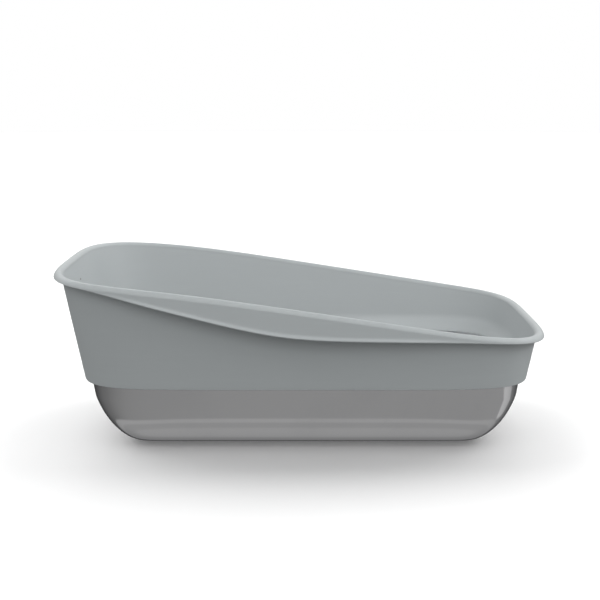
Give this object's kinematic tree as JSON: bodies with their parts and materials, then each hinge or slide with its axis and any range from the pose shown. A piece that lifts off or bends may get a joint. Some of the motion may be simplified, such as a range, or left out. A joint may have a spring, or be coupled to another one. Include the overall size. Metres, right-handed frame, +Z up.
{
  "type": "cat litter box",
  "caption": "Open-topped cat litter box: a drawn steel pan on rubber feet, with a lift-off plastic shield whose rim falls from a tall back to a low entry.",
  "frame": {"origin": "on the floor, under the middle of the whole box", "axes": "+X along the length towards the low entry, -X towards the tall back, +Y across the width, +Z up"},
  "size_m": [0.5768, 0.401, 0.2017],
  "materials": {
    "pan_steel": "satin drawn stainless steel",
    "shield_plastic": "satin injection-moulded plastic with a fine spark texture",
    "foot_silicone": "matt silicone"
  },
  "bodies": {
    "pan": {"steel_pan": "pan_steel", "foot_front_left": "foot_silicone", "foot_front_right": "foot_silicone", "foot_back_left": "foot_silicone", "foot_back_right": "foot_silicone"},
    "shield": {"shield": "shield_plastic"}
  },
  "joints": [
    {"name": "shield_lift", "type": "slide", "parent": "pan", "child": "shield", "axis": [0, 0, 1], "range_m": [0, 0.2]}
  ]
}
